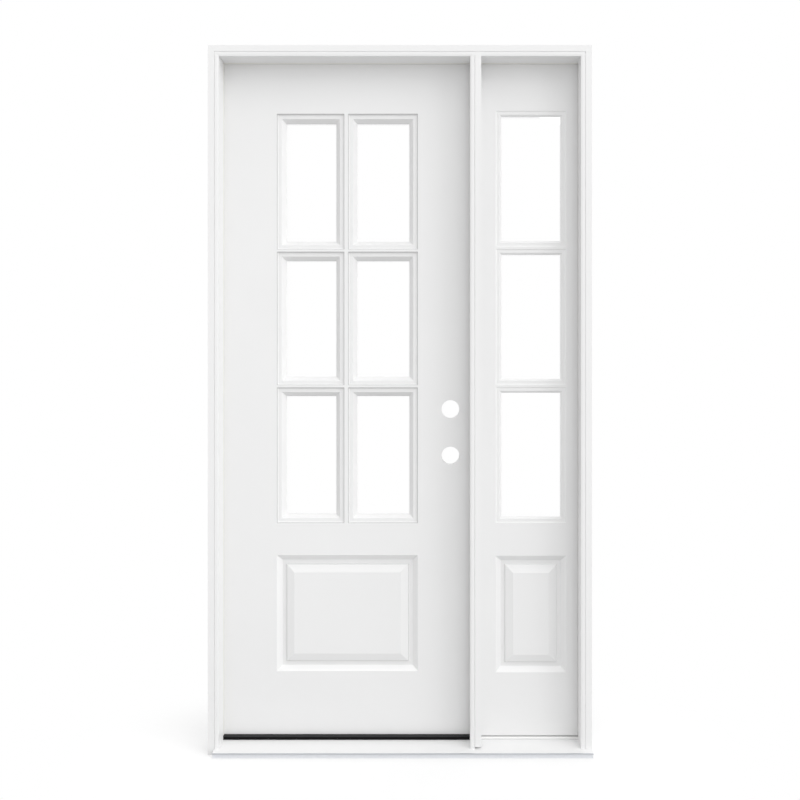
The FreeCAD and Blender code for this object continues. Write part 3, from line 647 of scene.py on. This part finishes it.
class DOOR_OT_stage(bpy.types.Operator):
    """Set up the pale floor, the white surroundings, the studio lamps and the camera"""
    bl_idname = "entry_door.stage"
    bl_label = "Stage"

    def execute(self, context):
        stage = context.scene.door_stage
        self.floor(stage)
        self.surroundings(context.scene, stage)
        for name, azimuth, elevation, strength in SOFTBOXES:
            self.softbox(name, azimuth, elevation, strength, stage.softness)
        self.camera(context.scene, stage)
        context.scene.view_settings.view_transform = "Standard"
        return {"FINISHED"}

    def floor(self, stage):
        """A pale floor that keeps the shadow round the door's foot and turns into the white surroundings."""
        reach = stage.floor_reach
        data = bpy.data.meshes.new("floor")
        corners = [(-reach, -reach), (reach, -reach), (reach, reach), (-reach, reach)]
        data.from_pydata([(x, y, -FLOOR_DROP) for x, y in corners], [], [tuple(range(len(corners)))])
        material, tree = new_material("pale_studio_floor")
        low, high = CAD_BOX
        half = Vector((high[X] - low[X], high[Y] - low[Y], 0.0)) / 2
        middle = Vector((high[X] + low[X], high[Y] + low[Y], 0.0)) / 2
        place = add_node(tree, "ShaderNodeTexCoord")
        aside = add_node(tree, "ShaderNodeVectorMath", {
            0: place.outputs["Object"], 1: middle}, operation="SUBTRACT")
        spread = add_node(tree, "ShaderNodeVectorMath", {0: aside.outputs["Vector"]}, operation="ABSOLUTE")
        beyond = add_node(tree, "ShaderNodeVectorMath", {
            0: spread.outputs["Vector"], 1: half}, operation="SUBTRACT")
        outside = add_node(tree, "ShaderNodeVectorMath", {
            0: beyond.outputs["Vector"], 1: (0.0, 0.0, 0.0)}, operation="MAXIMUM")
        away = add_node(tree, "ShaderNodeVectorMath", {0: outside.outputs["Vector"]}, operation="LENGTH")
        fade = add_node(tree, "ShaderNodeMapRange", {
            "Value": away.outputs["Value"], "From Max": stage.shadow_reach}, interpolation_type="SMOOTHSTEP")
        seen = self.seen_ray(tree)
        shown = add_node(tree, "ShaderNodeMath", {0: seen, 1: fade.outputs["Result"]}, operation="MULTIPLY")
        lift = add_node(tree, "ShaderNodeMath", {0: seen, 1: stage.floor_lift}, operation="MULTIPLY")
        matt = add_node(tree, "ShaderNodeBsdfDiffuse", {"Color": srgb(stage.floor_colour)})
        glow = add_node(tree, "ShaderNodeEmission", {"Color": srgb(WHITE), "Strength": lift.outputs["Value"]})
        near = add_node(tree, "ShaderNodeAddShader", {0: matt.outputs["BSDF"], 1: glow.outputs["Emission"]})
        white = add_node(tree, "ShaderNodeEmission", {"Color": srgb(WHITE), "Strength": 1.0})
        blend = add_node(tree, "ShaderNodeMixShader", {
            0: shown.outputs["Value"], 1: near.outputs["Shader"], 2: white.outputs["Emission"]})
        add_node(tree, "ShaderNodeOutputMaterial", {"Surface": blend.outputs["Shader"]})
        data.materials.append(material)
        floor = bpy.data.objects.new("floor", data)
        bpy.context.collection.objects.link(floor)

    def seen_ray(self, tree):
        """1 for what the eye, metal and glass see, 0 for light that falls on a surface."""
        ray = add_node(tree, "ShaderNodeLightPath")
        glossy = add_node(tree, "ShaderNodeMath", {
            0: ray.outputs["Is Camera Ray"], 1: ray.outputs["Is Glossy Ray"]}, operation="MAXIMUM")
        seen = add_node(tree, "ShaderNodeMath", {
            0: glossy.outputs["Value"], 1: ray.outputs["Is Transmission Ray"]}, operation="MAXIMUM")
        return seen.outputs["Value"]

    def surroundings(self, scene, stage):
        """White to the eye, to glass and to metal, and a lower even light on everything else."""
        world = bpy.data.worlds.new("white_surroundings")
        scene.world = world
        world.use_nodes = True
        tree = world.node_tree
        tree.nodes.clear()
        strength = add_node(tree, "ShaderNodeMapRange", {
            "Value": self.seen_ray(tree), "To Min": stage.ambient, "To Max": 1.0})
        light = add_node(tree, "ShaderNodeBackground", {
            "Color": srgb(WHITE), "Strength": strength.outputs["Result"]})
        add_node(tree, "ShaderNodeOutputWorld", {"Surface": light.outputs["Background"]})

    def softbox(self, name, azimuth, elevation, strength, softness):
        """A broad far lamp: azimuth runs from straight in front to the right, elevation up from level."""
        data = bpy.data.lights.new(name, "SUN")
        data.angle = softness
        data.energy = strength
        lamp = bpy.data.objects.new(name, data)
        turn, rise = math.radians(azimuth), math.radians(elevation)
        source = Vector((math.sin(turn) * math.cos(rise), -math.cos(turn) * math.cos(rise), math.sin(rise)))
        lamp.rotation_euler = (-source).to_track_quat("-Z", "Y").to_euler()
        bpy.context.collection.objects.link(lamp)

    def camera(self, scene, stage):
        """Stand square in front of the door, a little right of its middle, as the photograph does."""
        data = bpy.data.cameras.new("camera")
        data.lens = stage.lens
        data.shift_x, data.shift_y = stage.shift
        camera = bpy.data.objects.new("camera", data)
        camera.location = stage.eye
        camera.rotation_euler = (math.pi / 2, 0.0, 0.0)
        bpy.context.collection.objects.link(camera)
        scene.camera = camera


class DOOR_PT_panel(bpy.types.Panel):
    """Entry door tools"""
    bl_idname = "DOOR_PT_panel"
    bl_label = "Entry door"
    bl_space_type = "VIEW_3D"
    bl_region_type = "UI"
    bl_category = "Entry door"

    def draw(self, context):
        for operator in OPERATORS:
            self.layout.operator(operator.bl_idname)


OPERATORS = (DOOR_OT_woodwork, DOOR_OT_glazing, DOOR_OT_sill, DOOR_OT_seals, DOOR_OT_hinges, DOOR_OT_stage)
GROUPS = {
    "door_finishes": DOOR_PG_finishes,
    "door_hardware": DOOR_PG_hardware,
    "door_seals": DOOR_PG_seals,
    "door_stage": DOOR_PG_stage,
}
CLASSES = (*GROUPS.values(), *OPERATORS, DOOR_PT_panel)


def register():
    for item in CLASSES:
        bpy.utils.register_class(item)
    for name, group in GROUPS.items():
        setattr(bpy.types.Scene, name, bpy.props.PointerProperty(type=group))


def unregister():
    for name in GROUPS:
        delattr(bpy.types.Scene, name)
    for item in reversed(CLASSES):
        bpy.utils.unregister_class(item)


def main():
    register()
    bpy.ops.entry_door.woodwork()
    bpy.ops.entry_door.glazing()
    bpy.ops.entry_door.sill()
    bpy.ops.entry_door.seals()
    bpy.ops.entry_door.hinges()
    bpy.ops.entry_door.stage()


if __name__ == "__main__":
    main()
